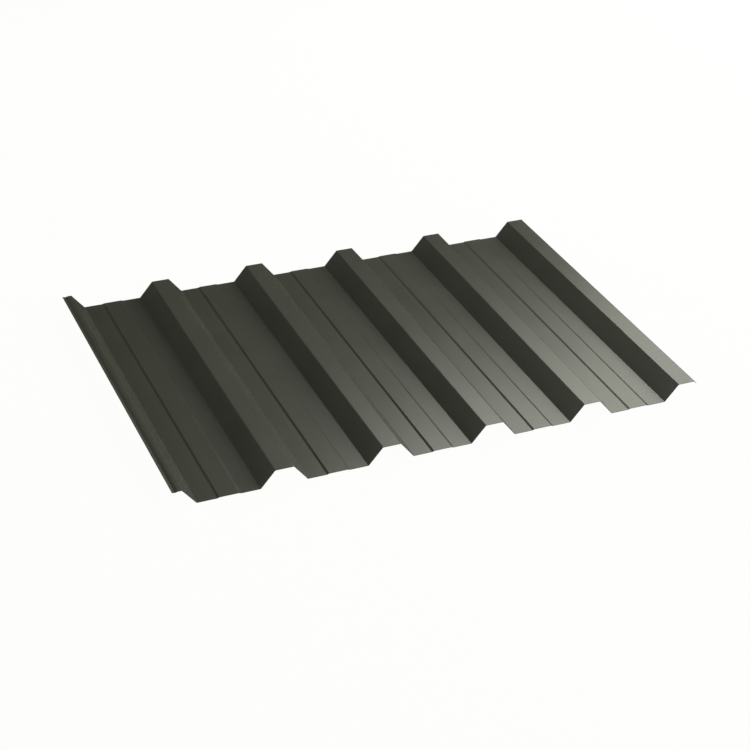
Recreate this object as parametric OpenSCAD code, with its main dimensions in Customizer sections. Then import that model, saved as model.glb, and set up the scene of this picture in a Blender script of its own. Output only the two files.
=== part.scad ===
// Box profile roofing and cladding sheet: one coated steel strip, roll formed
// into trapezoidal ribs with flat pans between them. Millimetres, +Z up, ribs
// along Y. The origin is at the middle of the footprint, on the plane that the
// pans lie on.

/* [Strip] */
// Length of the sheet along its ribs
sheet_len = 706; // [300:1:3000]
// Thickness of the coated steel
sheet_t = 0.7; // [0.4:0.05:1.2]
// Inside radius of every roll-formed bend
bend_r = 2; // [1:0.25:4]

/* [Ribs and pans] */
// Number of pans, each with a rib on its right
pan_count = 5; // [2:1:6]
// Distance from one rib to the next
pitch = 200; // [180:1:250]
// Height of a rib above the pans
rib_h = 32; // [24:0.5:45]
// Width of the flat crown on a rib
crown_w = 34.4; // [26:0.2:50]
// Sideways run of a rib's sloping web
web_run = 26; // [16:0.5:32]

/* [Pan stiffener] */
// Width of the raised flat along the middle of a pan
swage_w = 34.4; // [20:0.2:50]
// Sideways run of the ramp on each side of it
swage_ramp = 4.25; // [3:0.05:8]
// Height of the raised flat above the pan
swage_h = 1.35; // [0.6:0.05:3]

/* [Side laps] */
// Clearance between the underlap and the next sheet's overlap on top of it
lap_gap = 0.1; // [0:0.05:0.5]
// Width of the underlap's crown, which carries the next sheet
lap_flat = 7.1; // [5:0.1:12]
// Depth of the anti-capillary groove beyond that crown
groove_depth = 1.35; // [0.6:0.05:2.5]
// Sideways run of the groove's inner side
groove_run = 5.45; // [4:0.05:9]
// Sideways run of the groove's outer side, which ends at the sheet's edge
groove_lip = 5.05; // [4:0.05:9]
// Length of the overlap's turned-down lip, along its slope
overlap_lip = 6.5; // [4:0.1:12]

/* [Hidden] */
$fn = 120;

// Neighbouring flats and bends run into each other by this much
joint = 0.0003;

// Widths that the section leaves for the pans
web_angle = atan2(rib_h, web_run);
rib_foot = crown_w / 2 + web_run;
pan_flat = pitch / 2 - rib_foot - swage_ramp - swage_w / 2;

// The underlap is the next sheet's rib drawn in by one thickness and the gap,
// square to its crown and to its web, so that the two nest
lap_inset = sheet_t + lap_gap;
underlap_h = rib_h - lap_inset;
underlap_run = underlap_h * web_run / rib_h;
underlap_foot = crown_w / 2 - lap_inset * tan(web_angle / 2) + underlap_run;
first_flat = pan_flat + rib_foot - underlap_foot;

// The section's legs from left to right, each as [sideways run, rise], measured
// on the middle of the strip's thickness from corner to corner
underlap = [
    [groove_lip, -groove_depth],
    [groove_run, groove_depth],
    [lap_flat, 0],
    [underlap_run, -underlap_h]
];
function pan(left_flat) = [
    [left_flat, 0],
    [swage_ramp, swage_h],
    [swage_w, 0],
    [swage_ramp, -swage_h],
    [pan_flat, 0]
];
rib = [[web_run, rib_h], [crown_w, 0], [web_run, -rib_h]];
overlap = [
    [web_run, rib_h],
    [crown_w, 0],
    overlap_lip * [cos(web_angle), -sin(web_angle)]
];
legs = concat(underlap, [
    for (i = [0:pan_count - 1])
        each concat(pan(i == 0 ? first_flat : pan_flat), i < pan_count - 1 ? rib : overlap)
]);

// How each leg lies, how the strip turns after it, and the flat length that the
// bends at its two ends leave
last = len(legs) - 1;
mid_r = bend_r + sheet_t / 2;
function heading(i) = atan2(legs[i].y, legs[i].x);
function turn(i) = heading(i + 1) - heading(i);
function setback(i) = i < 0 || i == last ? 0 : mid_r * tan(abs(turn(i)) / 2);
function flat_len(i) = norm(legs[i]) - setback(i - 1) - setback(i);

// The middle of the left edge, placed so that the footprint is centred
function run_to(i) = i < 0 ? 0 : legs[i].x + run_to(i - 1);
left_x = -run_to(last) / 2 + sheet_t / 4 * (sin(abs(heading(0))) - sin(abs(heading(last))));
left_z = underlap_h + sheet_t / 2;

// Turns from one leg's heading to the next, by way of level, so that no rounding
// adds up along the strip
module turned(i) {
    rotate(-heading(i)) rotate(heading(i + 1)) children();
}

// The bend after leg i, drawn about its own centre
module bend(i) {
    outer_r = bend_r + sheet_t;
    difference() {
        circle(outer_r);
        circle(bend_r);
        translate([-2 * outer_r, -2 * outer_r]) square([2 * outer_r, 4 * outer_r]);
        turned(i) translate([0, -2 * outer_r]) square([2 * outer_r, 4 * outer_r]);
    }
}

// The strip from leg i to the right edge, drawn along +X from the origin
module strip(i) {
    side = i < last ? sign(turn(i)) : 0;
    translate([-joint, -sheet_t / 2]) square([flat_len(i) + 2 * joint, sheet_t]);
    if (i < last)
        translate([flat_len(i), side * mid_r]) {
            bend(i);
            turned(i) translate([0, -side * mid_r]) strip(i + 1);
        }
}

module profiled_sheet() {
    color("#43443b")
        rotate([90, 0, 0])
            linear_extrude(sheet_len, center = true)
                translate([left_x, left_z]) rotate(heading(0)) strip(0);
}

profiled_sheet();
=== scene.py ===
"""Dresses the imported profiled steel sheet: coil-coated finish, studio floor, light and camera."""
import math

import bpy
from mathutils import Matrix, Vector


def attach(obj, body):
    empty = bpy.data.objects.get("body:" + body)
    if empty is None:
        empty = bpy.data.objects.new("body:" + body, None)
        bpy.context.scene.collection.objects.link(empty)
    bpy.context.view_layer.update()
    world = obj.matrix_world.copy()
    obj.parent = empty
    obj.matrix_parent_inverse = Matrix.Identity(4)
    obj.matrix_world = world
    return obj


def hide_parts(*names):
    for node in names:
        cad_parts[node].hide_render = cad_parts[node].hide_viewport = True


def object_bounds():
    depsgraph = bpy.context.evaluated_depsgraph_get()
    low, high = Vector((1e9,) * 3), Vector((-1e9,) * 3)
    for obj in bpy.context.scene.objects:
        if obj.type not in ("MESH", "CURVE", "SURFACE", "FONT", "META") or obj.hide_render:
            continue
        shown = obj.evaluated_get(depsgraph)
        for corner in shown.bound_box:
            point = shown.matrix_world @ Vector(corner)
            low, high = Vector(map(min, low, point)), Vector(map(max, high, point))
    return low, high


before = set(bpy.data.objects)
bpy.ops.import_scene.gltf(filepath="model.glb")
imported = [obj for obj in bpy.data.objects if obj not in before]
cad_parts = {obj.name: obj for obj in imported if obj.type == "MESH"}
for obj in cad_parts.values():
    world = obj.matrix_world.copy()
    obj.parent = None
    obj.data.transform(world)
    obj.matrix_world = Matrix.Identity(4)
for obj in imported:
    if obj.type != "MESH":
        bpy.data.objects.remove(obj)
cad_low, cad_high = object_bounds()

# Sizes of the section, in metres, as the strip's middle runs from corner to corner
MM = 0.001
SECTION_SIZES = {
    "Sheet length": cad_high.y - cad_low.y,
    "Thickness": 0.7 * MM,
    "Bend radius": 2 * MM,
    "Pitch": 200 * MM,
    "Rib height": 32 * MM,
    "Crown width": 34.4 * MM,
    "Web run": 26 * MM,
    "Swage width": 34.4 * MM,
    "Swage ramp": 4.25 * MM,
    "Swage height": 1.35 * MM,
    "Lap gap": 0.1 * MM,
    "Lap flat": 7.1 * MM,
    "Groove depth": 1.35 * MM,
    "Groove run": 5.45 * MM,
    "Groove lip": 5.05 * MM,
    "Overlap lip": 6.5 * MM,
}
PAN_COUNT = 5
BEND_FACETS = 12

# Corners that the underlap has, and corners that each pan and the rib after it have
UNDERLAP_CORNERS = 5
PAN_CORNERS = 8

# Points this close together are one point, and points this close to the strip's edge are on it
WELD_REACH = 0.001 * MM
EDGE_REACH = 0.01 * MM

# Where most of a noise pattern's values lie, and the white of the studio
NOISE_RANGE = (0.3, 0.7)
STUDIO_WHITE = (1.0, 1.0, 0.99, 1.0)


def feed(tree, socket, value):
    """Links a field to a socket, or sets the socket to a plain value."""
    if isinstance(value, Field):
        tree.links.new(value.socket, socket)
    else:
        socket.default_value = value


def make(tree, kind, inputs=(), **settings):
    """Adds a node with its settings, then feeds its inputs by name or by number."""
    node = tree.nodes.new(kind)
    for name, value in settings.items():
        setattr(node, name, value)
    for key, value in dict(inputs).items():
        feed(tree, node.inputs[key], value)
    return node


class Field:
    """A value inside a node tree, so that sizes are worked out there as plain sums."""

    def __init__(self, tree, socket):
        self.tree = tree
        self.socket = socket

    def math(self, operation, *others):
        values = dict(enumerate((self, *others)))
        return Field(self.tree, make(self.tree, "ShaderNodeMath", values, operation=operation).outputs[0])

    def __add__(self, other):
        return self.math("ADD", other)

    def __sub__(self, other):
        return self.math("SUBTRACT", other)

    def __mul__(self, other):
        return self.math("MULTIPLY", other)

    def __truediv__(self, other):
        return self.math("DIVIDE", other)

    def __neg__(self):
        return self.math("MULTIPLY", -1)


def output(node, name=0):
    """One output of a node as a field."""
    return Field(node.id_data, node.outputs[name])


def vector_math(operation, first, second):
    """A sum, product or cross product of two vectors."""
    tree = first.tree
    return output(make(tree, "ShaderNodeVectorMath", {0: first, 1: second}, operation=operation))


def point(tree, x, z):
    """A corner of the section, which lies in the XZ plane."""
    return output(make(tree, "ShaderNodeCombineXYZ", {"X": x, "Z": z}))


def pick(tree, index, vectors):
    """The vector that stands at an index in a list."""
    node = make(tree, "GeometryNodeIndexSwitch", data_type="VECTOR")
    while len(node.index_switch_items) < len(vectors):
        node.index_switch_items.new()
    feed(tree, node.inputs[0], index)
    for socket, vector in zip(node.inputs[1:], vectors):
        feed(tree, socket, vector)
    return output(node)


def choose(tree, condition, if_false, if_true):
    """One of two vectors."""
    inputs = {"Switch": condition, "False": if_false, "True": if_true}
    return output(make(tree, "GeometryNodeSwitch", inputs, input_type="VECTOR"))


def section_corners(tree, size, pans, index):
    """Where the corner with this index lies on the strip's middle, from the underlap to the overlap."""
    half_t = size["Thickness"] / 2
    half_crown = size["Crown width"] / 2
    half_pitch = size["Pitch"] / 2
    rib_foot = half_crown + size["Web run"]
    web_angle = size["Rib height"].math("ARCTAN2", size["Web run"])
    swage_foot = size["Swage width"] / 2 + size["Swage ramp"]

    # The underlap is the next sheet's rib drawn in, so that the two nest
    inset = size["Thickness"] + size["Lap gap"]
    under_h = size["Rib height"] - inset
    under_crown = half_crown - inset * (web_angle / 2).math("TANGENT")
    under_foot = under_crown + under_h * size["Web run"] / size["Rib height"]
    groove_top = under_crown - size["Lap flat"]
    valley = groove_top - size["Groove run"]
    edge = valley - size["Groove lip"]
    underlap = pick(tree, index, [
        point(tree, edge, under_h),
        point(tree, valley, under_h - size["Groove depth"]),
        point(tree, groove_top, under_h),
        point(tree, under_crown, under_h),
        point(tree, under_foot, 0.0),
    ])

    # Each pan with the rib after it, from the pan's centre line
    past = index - UNDERLAP_CORNERS
    pan = (past / PAN_CORNERS).math("FLOOR")
    pan_and_rib = pick(tree, past - pan * PAN_CORNERS, [
        point(tree, -swage_foot, 0.0),
        point(tree, -(size["Swage width"] / 2), size["Swage height"]),
        point(tree, size["Swage width"] / 2, size["Swage height"]),
        point(tree, swage_foot, 0.0),
        point(tree, half_pitch - rib_foot, 0.0),
        point(tree, half_pitch - half_crown, size["Rib height"]),
        point(tree, half_pitch + half_crown, size["Rib height"]),
        point(tree, half_pitch + rib_foot, 0.0),
    ])
    pan_centre = point(tree, (pan + 0.5) * size["Pitch"], 0.0)
    pan_and_rib = vector_math("ADD", pan_and_rib, pan_centre)

    # The last rib ends in the overlap's lip
    lip_run = size["Overlap lip"] * web_angle.math("COSINE")
    lip_drop = size["Overlap lip"] * web_angle.math("SINE")
    lip_end = pans * size["Pitch"] + half_crown + lip_run
    lip = point(tree, lip_end, size["Rib height"] - lip_drop)

    corner = choose(tree, index.math("LESS_THAN", UNDERLAP_CORNERS), pan_and_rib, underlap)
    last = pans * PAN_CORNERS + (UNDERLAP_CORNERS - 1)
    corner = choose(tree, index.math("LESS_THAN", last), lip, corner)

    # The footprint is centred, and the pans lie on the floor
    lip_tilt = size["Groove depth"].math("ARCTAN2", size["Groove lip"])
    edge_overhang = lip_tilt.math("SINE") - web_angle.math("SINE")
    centring = half_t / 2 * edge_overhang - (edge + lip_end) / 2
    return vector_math("ADD", corner, point(tree, centring, half_t))


def sampled(tree, curve, value, index, data_type):
    """A value that belongs to the curve's points, read at an index."""
    inputs = {"Geometry": curve, "Value": value, "Index": index}
    return output(make(tree, "GeometryNodeSampleIndex", inputs, data_type=data_type, domain="POINT"))


def roll_formed_sheet():
    """The node tree of the sheet: a cornered section, rounded at its bends, thickened and drawn out."""
    tree = bpy.data.node_groups.new("roll_formed_sheet", "GeometryNodeTree")
    for name in SECTION_SIZES:
        tree.interface.new_socket(name, in_out="INPUT", socket_type="NodeSocketFloat")
    for name in ("Pan count", "Bend facets"):
        tree.interface.new_socket(name, in_out="INPUT", socket_type="NodeSocketInt")
    for name in ("Weather coat", "Backing coat", "Cut edge"):
        tree.interface.new_socket(name, in_out="INPUT", socket_type="NodeSocketMaterial")
    tree.interface.new_socket("Sheet", in_out="OUTPUT", socket_type="NodeSocketGeometry")
    entry = make(tree, "NodeGroupInput")
    size = {socket.name: Field(tree, socket) for socket in entry.outputs if socket.name}
    pans = size["Pan count"]
    index = output(make(tree, "GeometryNodeInputIndex"))

    # The strip's middle line across the sheet
    corner_count = pans * PAN_CORNERS + UNDERLAP_CORNERS
    line = output(make(tree, "GeometryNodeCurvePrimitiveLine"))
    line = output(make(tree, "GeometryNodeResampleCurve", {"Curve": line, "Count": corner_count}))
    corners = section_corners(tree, size, pans, index)
    line = output(make(tree, "GeometryNodeSetPosition", {"Geometry": line, "Position": corners}))
    bend = {
        "Curve": line,
        "Count": size["Bend facets"],
        "Radius": size["Bend radius"] + size["Thickness"] / 2,
    }
    line = output(make(tree, "GeometryNodeFilletCurve", bend, mode="POLY"))

    # The cut end: pairs of points, one on each face of the strip
    count = make(tree, "GeometryNodeAttributeDomainSize", {0: line}, component="CURVE")
    grid = {"Vertices X": output(count, "Point Count"), "Vertices Y": 2}
    end = output(make(tree, "GeometryNodeMeshGrid", grid))
    pair = (index / 2).math("FLOOR")
    on_top = index - pair * 2
    middle = output(make(tree, "GeometryNodeInputPosition"))
    tangent = output(make(tree, "GeometryNodeInputTangent"))
    normal = vector_math("CROSS_PRODUCT", tangent, (0, 1, 0))
    run = output(make(tree, "GeometryNodeSplineParameter"), "Length")
    middle = sampled(tree, line, middle, pair, "FLOAT_VECTOR")
    normal = sampled(tree, line, normal, pair, "FLOAT_VECTOR")
    run = sampled(tree, line, run, pair, "FLOAT")
    reach = (on_top - 0.5) * size["Thickness"]
    reach = output(make(tree, "ShaderNodeCombineXYZ", {"X": reach, "Y": reach, "Z": reach}))
    place = vector_math("ADD", middle, vector_math("MULTIPLY", normal, reach))
    front = output(make(tree, "ShaderNodeCombineXYZ", {"Y": -(size["Sheet length"] / 2)}))
    place = vector_math("ADD", place, front)
    end = output(make(tree, "GeometryNodeStoreNamedAttribute",
                      {"Geometry": end, "Name": "across", "Value": run}, data_type="FLOAT", domain="POINT"))
    end = output(make(tree, "GeometryNodeSetPosition", {"Geometry": end, "Position": place}))

    # The end is drawn out along the ribs, and a second end closes the front
    facing_back = output(make(tree, "GeometryNodeFlipFaces", {"Mesh": end}))
    to_back = output(make(tree, "ShaderNodeCombineXYZ", {"Y": size["Sheet length"]}))
    drawn = make(tree, "GeometryNodeExtrudeMesh",
                 {"Mesh": facing_back, "Offset": to_back, "Individual": False}, mode="FACES")
    join = make(tree, "GeometryNodeJoinGeometry")
    feed(tree, join.inputs[0], output(drawn, "Mesh"))
    feed(tree, join.inputs[0], end)
    weld = {"Geometry": output(join), "Distance": WELD_REACH}
    sheet = output(make(tree, "GeometryNodeMergeByDistance", weld))

    # A flat map of the strip: distance across it, and distance along the ribs
    across = make(tree, "GeometryNodeInputNamedAttribute", {"Name": "across"}, data_type="FLOAT")
    across = output(across, "Attribute")
    along = make(tree, "ShaderNodeSeparateXYZ", {0: output(make(tree, "GeometryNodeInputPosition"))})
    flat = output(make(tree, "ShaderNodeCombineXYZ", {"X": across, "Y": output(along, "Y")}))
    sheet = output(make(tree, "GeometryNodeStoreNamedAttribute",
                        {"Geometry": sheet, "Name": "strip_map", "Value": flat},
                        data_type="FLOAT2", domain="CORNER"))

    # Paint on top, backing coat below, bare steel where the strip was cut
    strip_length = output(make(tree, "GeometryNodeAttributeStatistic",
                               {"Geometry": sheet, "Attribute": across}), "Max")
    facing = make(tree, "ShaderNodeSeparateXYZ", {0: output(make(tree, "GeometryNodeInputNormal"))})
    below = output(facing, "Z").math("LESS_THAN", 0.0)
    left_edge = across.math("LESS_THAN", EDGE_REACH)
    right_edge = across.math("GREATER_THAN", strip_length - EDGE_REACH)
    not_side = {0: 1.0, 1: output(drawn, "Side")}
    end_face = output(make(tree, "ShaderNodeMath", not_side, operation="SUBTRACT"))
    cut = end_face.math("MAXIMUM", left_edge.math("MAXIMUM", right_edge))
    sheet = output(make(tree, "GeometryNodeRealizeInstances", {"Geometry": sheet}))
    coats = {"Weather coat": {}, "Backing coat": {"Selection": below}, "Cut edge": {"Selection": cut}}
    for finish, chosen in coats.items():
        coat = {"Geometry": sheet, "Material": size[finish], **chosen}
        sheet = output(make(tree, "GeometryNodeSetMaterial", coat))
    leave = make(tree, "NodeGroupOutput")
    feed(tree, leave.inputs["Sheet"], sheet)
    return tree


def srgb(red, green, blue):
    """A colour from its 0 to 255 screen values."""
    def linear(value):
        value /= 255
        return value / 12.92 if value <= 0.04045 else ((value + 0.055) / 1.055) ** 2.4
    return (linear(red), linear(green), linear(blue), 1.0)


def new_material(name):
    """An empty node material with its shader, ready for textures."""
    material = bpy.data.materials.new(name)
    material.use_nodes = True
    tree = material.node_tree
    return material, tree, tree.nodes["Principled BSDF"]


def sheet_place(tree):
    """Where a point lies on the sheet, in metres."""
    return output(make(tree, "ShaderNodeTexCoord"), "Object")


def strip_place(tree):
    """Where a point lies on the strip before it was formed: across it and along it, in metres."""
    return output(make(tree, "ShaderNodeUVMap", uv_map="strip_map"), "UV")


def stretched(place, *repeats):
    """A place counted in repeats of a pattern, so many to the metre each way."""
    return output(make(place.tree, "ShaderNodeMapping", {"Vector": place, "Scale": repeats}))


def noise(place, scale, detail=2.0):
    """Soft random values around one half, with so many swells to the metre."""
    inputs = {"Vector": place, "Scale": scale, "Detail": detail}
    return output(make(place.tree, "ShaderNodeTexNoise", inputs), "Fac")


def between(value, low, high):
    """Spreads the usual range of a random value between two numbers."""
    usual_low, usual_high = NOISE_RANGE
    inputs = {"Value": value, "From Min": usual_low, "From Max": usual_high, "To Min": low, "To Max": high}
    return output(make(value.tree, "ShaderNodeMapRange", inputs))


def shades(value, dark, light):
    """A colour that runs from a dark to a light stop, each a value and the colour there."""
    ramp = make(value.tree, "ShaderNodeValToRGB", {"Fac": value})
    for element, (position, colour) in zip(ramp.color_ramp.elements, (dark, light)):
        element.position = position
        element.color = colour
    return output(ramp, "Color")


def relief(height, depth):
    """The surface direction over bumps of a depth in metres."""
    return output(make(height.tree, "ShaderNodeBump", {"Height": height, "Distance": depth}), "Normal")


def surface(tree, shader, **values):
    """Feeds a shader's sockets, named with underscores for spaces."""
    for name, value in values.items():
        feed(tree, shader.inputs[name.replace("_", " ")], value)


def weather_coat():
    """Satin dark olive-grey coil coating: faint clouds, roller lines along the strip, a fine peel."""
    material, tree, shader = new_material("weather_coat")
    place = sheet_place(tree)
    cloud = noise(place, scale=9.0, detail=3.0)
    pigment = noise(place, scale=1100.0)
    peel = noise(place, scale=480.0, detail=1.0)
    roller = noise(stretched(strip_place(tree), 380.0, 3.0, 1.0), scale=1.0, detail=3.0)
    tone = cloud * 0.45 + pigment * 0.25 + roller * 0.3
    surface(
        tree, shader,
        Base_Color=shades(tone, dark=(0.36, srgb(79, 80, 73)), light=(0.64, srgb(85, 86, 79))),
        Roughness=between(cloud * 0.6 + roller * 0.4, low=0.23, high=0.27),
        Normal=relief(peel * 0.8 + roller * 0.2, depth=0.004 * MM),
    )
    return material


def backing_coat():
    """Thin light grey primer on the side that faces the building."""
    material, tree, shader = new_material("backing_coat")
    place = sheet_place(tree)
    cloud = noise(place, scale=14.0, detail=4.0)
    grit = noise(place, scale=900.0)
    roller = noise(stretched(strip_place(tree), 300.0, 2.0, 1.0), scale=1.0, detail=3.0)
    tone = cloud * 0.4 + grit * 0.2 + roller * 0.4
    surface(
        tree, shader,
        Base_Color=shades(tone, dark=(0.36, srgb(163, 165, 161)), light=(0.64, srgb(180, 181, 178))),
        Roughness=between(cloud * 0.5 + grit * 0.5, low=0.5, high=0.6),
        Normal=relief(grit * 0.6 + roller * 0.4, depth=0.004 * MM),
    )
    return material


def cut_edge():
    """Sheared steel with its dull zinc, scored through the thickness."""
    material, tree, shader = new_material("cut_edge")
    place = sheet_place(tree)
    score = noise(stretched(place, 2600.0, 2600.0, 240.0), scale=1.0)
    dull = noise(place, scale=60.0, detail=3.0)
    tone = score * 0.6 + dull * 0.4
    surface(
        tree, shader,
        Base_Color=shades(tone, dark=(0.34, srgb(66, 67, 62)), light=(0.66, srgb(96, 97, 92))),
        Metallic=0.5,
        Roughness=between(tone, low=0.45, high=0.65),
        Normal=relief(score, depth=0.01 * MM),
    )
    return material


def studio_floor():
    """Pale floor, lit evenly enough to hold hardly any shadow."""
    material, tree, shader = new_material("studio_floor")
    surface(
        tree, shader,
        Base_Color=srgb(60, 60, 60),
        Roughness=0.9,
        Specular_IOR_Level=0.0,
        Emission_Color=STUDIO_WHITE,
        Emission_Strength=0.965,
    )
    material.cycles.emission_sampling = "NONE"
    return material


def studio_wall():
    """Plain pale wall."""
    material, tree, shader = new_material("studio_wall")
    surface(
        tree, shader,
        Base_Color=(0.0, 0.0, 0.0, 1.0),
        Specular_IOR_Level=0.0,
        Emission_Color=STUDIO_WHITE,
        Emission_Strength=0.985,
    )
    material.cycles.emission_sampling = "NONE"
    return material


def made_by_nodes(name, tree, inputs):
    """A plain mesh object from a node tree and its inputs."""
    piece = bpy.data.objects.new(name, bpy.data.meshes.new(name))
    bpy.context.scene.collection.objects.link(piece)
    modifier = piece.modifiers.new("roll_forming", "NODES")
    modifier.node_group = tree
    for item in tree.interface.items_tree:
        if item.in_out == "INPUT":
            modifier[item.identifier] = inputs[item.name]
    evaluated = piece.evaluated_get(bpy.context.evaluated_depsgraph_get())
    mesh = bpy.data.meshes.new_from_object(evaluated)
    piece.modifiers.clear()
    piece.data = mesh
    return piece


finishes = {"Weather coat": weather_coat(), "Backing coat": backing_coat(), "Cut edge": cut_edge()}
counts = {"Pan count": PAN_COUNT, "Bend facets": BEND_FACETS}
sheet = made_by_nodes("coated_sheet", roll_formed_sheet(), {**SECTION_SIZES, **counts, **finishes})
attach(sheet, "root")
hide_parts("profiled_sheet")


def staged(name, corners, faces, material):
    """A piece of the studio, which isn't part of the sheet."""
    mesh = bpy.data.meshes.new(name)
    mesh.from_pydata(corners, [], faces)
    mesh.materials.append(material)
    piece = bpy.data.objects.new(name, mesh)
    bpy.context.scene.collection.objects.link(piece)
    return piece


# Floor just under the sheet, and a plain wall round it that gives the sheet no light
STUDIO_HALF = 12.0
WALL_HEIGHT = 8.0
FLOOR_DROP = 0.2 * MM
around = [(-STUDIO_HALF, -STUDIO_HALF), (STUDIO_HALF, -STUDIO_HALF),
          (STUDIO_HALF, STUDIO_HALF), (-STUDIO_HALF, STUDIO_HALF)]
low_ring = [(x, y, -FLOOR_DROP) for x, y in around]
high_ring = [(x, y, WALL_HEIGHT) for x, y in around]
sides = len(around)
wall_sides = [(i, i + sides, (i + 1) % sides + sides, (i + 1) % sides) for i in range(sides)]
floor = staged("floor", low_ring, [tuple(range(sides))], studio_floor())
floor.visible_glossy = False
wall = staged("wall", low_ring + high_ring, wall_sides, studio_wall())
wall.visible_diffuse = False
wall.visible_glossy = False
wall.visible_shadow = False

# Camera, with its sensor and lens in millimetres
CAMERA_AT = Vector((-1.2048, -2.6747, 1.7633))
CAMERA_AIM = Vector((-0.0245, -0.0801, 0.0))
CAMERA_ROLL = math.radians(2.330)
CAMERA_SENSOR = 36.0
CAMERA_LENS = 85.136
camera = bpy.data.objects.new("camera", bpy.data.cameras.new("camera"))
camera.data.sensor_width = CAMERA_SENSOR
camera.data.lens = CAMERA_LENS
turn = (CAMERA_AIM - CAMERA_AT).to_track_quat("-Z", "Y").to_matrix().to_4x4()
camera.matrix_world = Matrix.Translation(CAMERA_AT) @ turn @ Matrix.Rotation(CAMERA_ROLL, 4, "Z")
bpy.context.scene.collection.objects.link(camera)
bpy.context.scene.camera = camera

# Softboxes of one warm colour, which face a point to the right of the sheet's middle
LIT_POINT = Vector((0.1, 0.0, 0.0))
LAMP_COLOUR = (0.982, 1.0, 0.88)

# How fast a softbox brightens from its border inwards
BORDER_RISE = 2.5


def softbox(name, azimuth, elevation, distance, width, height, brightness):
    """An area light that fades at its border. Azimuth 0 is behind the sheet, and 90 is on its right."""
    turned = math.radians(azimuth)
    raised = math.radians(elevation)
    level = distance * math.cos(raised)
    place = Vector((level * math.sin(turned), level * math.cos(turned), distance * math.sin(raised)))
    light = bpy.data.lights.new(name, "AREA")
    light.shape = "RECTANGLE"
    light.size = width
    light.size_y = height
    light.energy = math.pi * width * height * brightness
    light.color = LAMP_COLOUR
    light.use_nodes = True
    tree = light.node_tree
    spot = output(make(tree, "ShaderNodeNewGeometry"), "Parametric")
    spot = make(tree, "ShaderNodeSeparateXYZ", {0: spot})
    fade = (output(spot, "X") * math.pi).math("SINE") * (output(spot, "Y") * math.pi).math("SINE")
    feed(tree, tree.nodes["Emission"].inputs["Strength"], (fade * BORDER_RISE).math("MINIMUM", 1.0))
    lamp = bpy.data.objects.new(name, light)
    lamp.location = place
    lamp.visible_camera = False
    lamp.rotation_mode = "QUATERNION"
    lamp.rotation_quaternion = (LIT_POINT - place).to_track_quat("-Z", "Y")
    bpy.context.scene.collection.objects.link(lamp)


# Broad panels round the sheet
softbox("right_panel", azimuth=125, elevation=26, distance=4.5, width=6.5, height=4.2, brightness=2.55)
softbox("left_panel", azimuth=-85, elevation=18, distance=4.5, width=5.0, height=3.0, brightness=1.6)
softbox("rear_panel", azimuth=-45, elevation=38, distance=4.5, width=3.2, height=3.2, brightness=0.54)

# The key light behind the sheet on the right, and its fall to the left
softbox("key_panel", azimuth=60, elevation=30, distance=3.2, width=2.2, height=2.2, brightness=2.39)
softbox("key_box", azimuth=40, elevation=44, distance=3.2, width=1.15, height=1.15, brightness=3.5)
softbox("key_box_core", azimuth=31.4, elevation=44.9, distance=2.98, width=0.8, height=0.8, brightness=3.18)
softbox("key_box_low", azimuth=45, elevation=36, distance=3.2, width=1.2, height=1.2, brightness=1.2)
softbox("key_box_left", azimuth=20, elevation=44, distance=3.2, width=1.15, height=1.15, brightness=0.26)
softbox("key_box_far_left", azimuth=15, elevation=36, distance=3.2, width=1.2, height=1.2, brightness=0.13)

# A trace of light from all round
FILL_STRENGTH = 0.01
world = bpy.data.worlds.new("studio")
world.use_nodes = True
backdrop = world.node_tree.nodes["Background"]
backdrop.inputs["Color"].default_value = (1.0, 1.0, 1.0, 1.0)
backdrop.inputs["Strength"].default_value = FILL_STRENGTH
bpy.context.scene.world = world
bpy.context.scene.view_settings.view_transform = "Standard"
